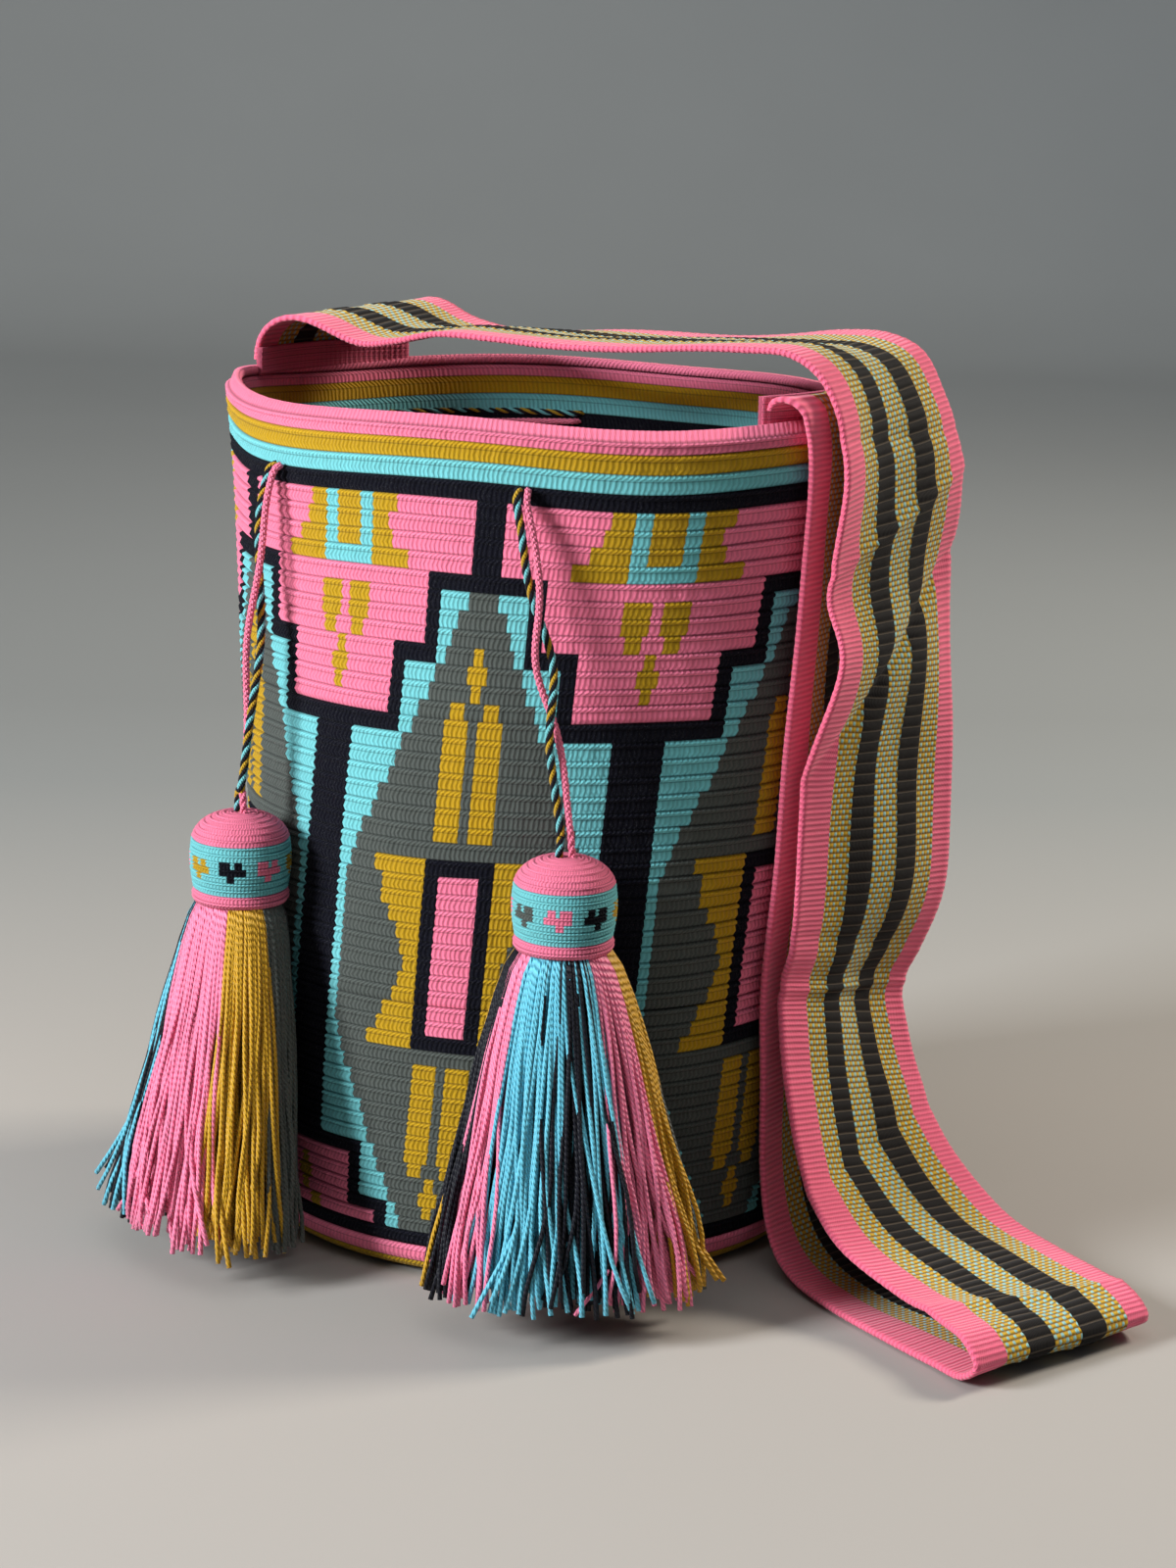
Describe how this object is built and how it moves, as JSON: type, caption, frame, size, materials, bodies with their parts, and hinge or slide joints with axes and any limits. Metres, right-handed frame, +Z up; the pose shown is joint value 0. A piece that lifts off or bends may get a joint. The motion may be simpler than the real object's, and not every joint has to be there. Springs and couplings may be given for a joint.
{
  "type": "wayuu mochila bag",
  "caption": "Crocheted bucket bag with a striped rim, a long woven shoulder band draped over it, and a drawstring that ends in yarn tassels.",
  "frame": {"origin": "middle of the flat base, on the ground", "axes": "+Z up; -Y is the front, between the two tassels; the shoulder band joins the rim near +X and -X"},
  "size_m": [0.3697, 0.2667, 0.3238],
  "materials": {
    "crochet_body": "matte crocheted cotton",
    "crochet_join": "matte crocheted cotton",
    "woven_band": "matte woven cotton",
    "cord_pink": "matte twisted cotton",
    "cord_mixed": "matte twisted cotton",
    "cap": "matte crocheted cotton",
    "tassel_yarn": "soft cut cotton yarn"
  },
  "bodies": {
    "bag": {"bag_body": "crochet_body", "strap_join_left": "crochet_join", "strap_join_right": "crochet_join", "strap_band": "woven_band", "drawstring_multicolour": "cord_mixed", "drawstring_pink": "cord_pink"},
    "left_cord": {"left_cord_multicolour": "cord_mixed", "left_cord_pink": "cord_pink"},
    "left_tassel": {"left_tassel_cap": "cap", "left_tassel_skirt": "tassel_yarn"},
    "right_cord": {"right_cord_multicolour": "cord_mixed", "right_cord_pink": "cord_pink"},
    "right_tassel": {"right_tassel_cap": "cap", "right_tassel_skirt": "tassel_yarn"}
  },
  "joints": [
    {"name": "left_cord_swing", "type": "hinge", "parent": "bag", "child": "left_cord", "pos_m": [-0.04545, -0.09747, 0.2775], "axis": [-0.9063, 0.4226, 0], "range_deg": [0, 60]},
    {"name": "left_tassel_tilt", "type": "hinge", "parent": "left_cord", "child": "left_tassel", "pos_m": [-0.04865, -0.1146, 0.1658], "axis": [-0.3907, -0.9205, 0], "range_deg": [-25, 8]},
    {"name": "right_cord_swing", "type": "hinge", "parent": "bag", "child": "right_cord", "pos_m": [0.05247, -0.09465, 0.2775], "axis": [-0.8746, -0.4848, 0], "range_deg": [0, 60]},
    {"name": "right_tassel_tilt", "type": "hinge", "parent": "right_cord", "child": "right_tassel", "pos_m": [0.07493, -0.09943, 0.1658], "axis": [0.6018, -0.7986, 0], "range_deg": [-8, 5]}
  ]
}
